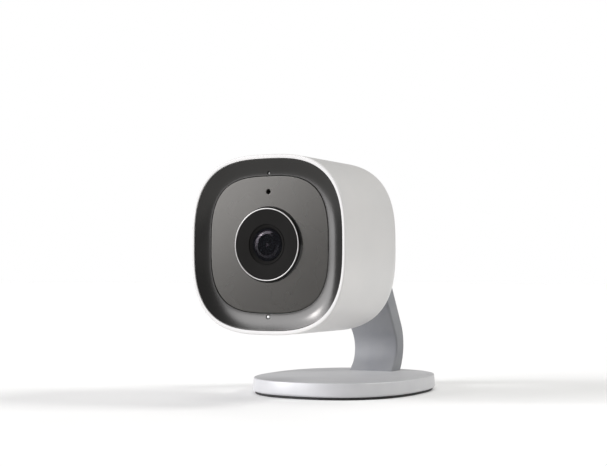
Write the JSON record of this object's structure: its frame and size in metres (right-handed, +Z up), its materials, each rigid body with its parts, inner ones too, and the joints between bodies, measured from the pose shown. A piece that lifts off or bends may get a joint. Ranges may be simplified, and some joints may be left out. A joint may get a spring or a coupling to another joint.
{
  "type": "security camera",
  "caption": "Indoor security camera: rounded-square head with a dished bezel and raised lens ring, tilting and swivelling on a curved arm over a weighted base.",
  "frame": {"origin": "centre of the base's underside, on the surface the camera stands on", "axes": "+Z up, -Y the way the camera looks at rest, +X to the left of someone who faces the lens"},
  "size_m": [0.0632, 0.1011, 0.0854],
  "materials": {
    "white_plastic": "satin",
    "grey_plastic": "satin",
    "black_plastic": "matte",
    "bezel_lacquer": "gloss",
    "smoked_plate": "satin",
    "black_gloss": "gloss",
    "bright_trim": "polished",
    "lens_glass": "polished",
    "coated_glass": "polished",
    "filter_glass": "polished",
    "black_metal": "satin",
    "copper_coil": "satin",
    "sensor_glass": "polished",
    "circuit_board": "satin",
    "led_resin": "gloss",
    "window_plastic": "gloss",
    "rubber": "matte",
    "chip_plastic": "matte",
    "thermal_rubber": "matte",
    "aluminium": "satin",
    "cable_plastic": "satin",
    "arm_paint": "satin",
    "base_pearl": "satin",
    "steel": "satin"
  },
  "bodies": {
    "stand": {"stand_arm": "arm_paint", "hinge_pin": "steel", "friction_washers": "steel", "hinge_caps": "grey_plastic", "base_cover": "base_pearl", "base_weight": "steel", "base_pad": "rubber", "base_screws": "steel", "arm_screws": "steel"},
    "knuckle": {"tilt_knuckle": "arm_paint", "swivel_washer": "steel", "swivel_screw": "steel"},
    "head": {"housing_shell": "white_plastic", "rear_cover": "white_plastic", "inner_frame": "black_plastic", "front_bezel": "bezel_lacquer", "front_plate": "smoked_plate", "lens_ring": "black_gloss", "lens_trim_ring": "bright_trim", "lens_hood": "black_plastic", "front_lens": "lens_glass", "middle_lens": "coated_glass", "rear_lens": "lens_glass", "lens_barrel": "black_metal", "aperture_stop": "black_metal", "lens_mount": "black_plastic", "ir_filter_coil": "copper_coil", "image_sensor": "sensor_glass", "sensor_board": "circuit_board", "ir_led_board": "circuit_board", "ir_leds": "led_resin", "microphone": "steel", "microphone_gasket": "rubber", "light_sensor": "led_resin", "light_sensor_window": "window_plastic", "status_led": "led_resin", "status_light_window": "window_plastic", "main_board": "circuit_board", "processor": "chip_plastic", "shield_can": "steel", "thermal_pad": "thermal_rubber", "heat_spreader": "aluminium", "port_board": "circuit_board", "port_connector": "chip_plastic", "usb_socket": "steel", "button_switch": "chip_plastic", "speaker": "black_metal", "speaker_gasket": "rubber", "speaker_leads": "cable_plastic", "wifi_antenna": "circuit_board", "flex_cable": "cable_plastic", "led_cable": "cable_plastic", "frame_screws": "steel", "board_screws": "steel", "rear_cover_screws": "steel"},
    "button": {"setup_button": "grey_plastic", "switch_plunger": "chip_plastic"},
    "day_night_filter": {"ir_filter_slide": "black_plastic", "ir_cut_glass": "filter_glass", "clear_glass": "lens_glass"}
  },
  "joints": [
    {"name": "head_tilt", "type": "hinge", "parent": "stand", "child": "knuckle", "pos_m": [0, 0.0072, 0.0546], "axis": [1, 0, 0], "range_deg": [-60, 16]},
    {"name": "head_swivel", "type": "hinge", "parent": "knuckle", "child": "head", "pos_m": [0, -0.0078, 0.0546], "axis": [0, 1, 0], "range_deg": [-90, 90]},
    {"name": "button_press", "type": "slide", "parent": "head", "child": "button", "axis": [0, -1, 0], "range_m": [0, 0.0005], "stiffness_N_per_m": 800},
    {"name": "filter_shift", "type": "slide", "parent": "head", "child": "day_night_filter", "axis": [-1, 0, 0], "range_m": [0, 0.0084]}
  ]
}
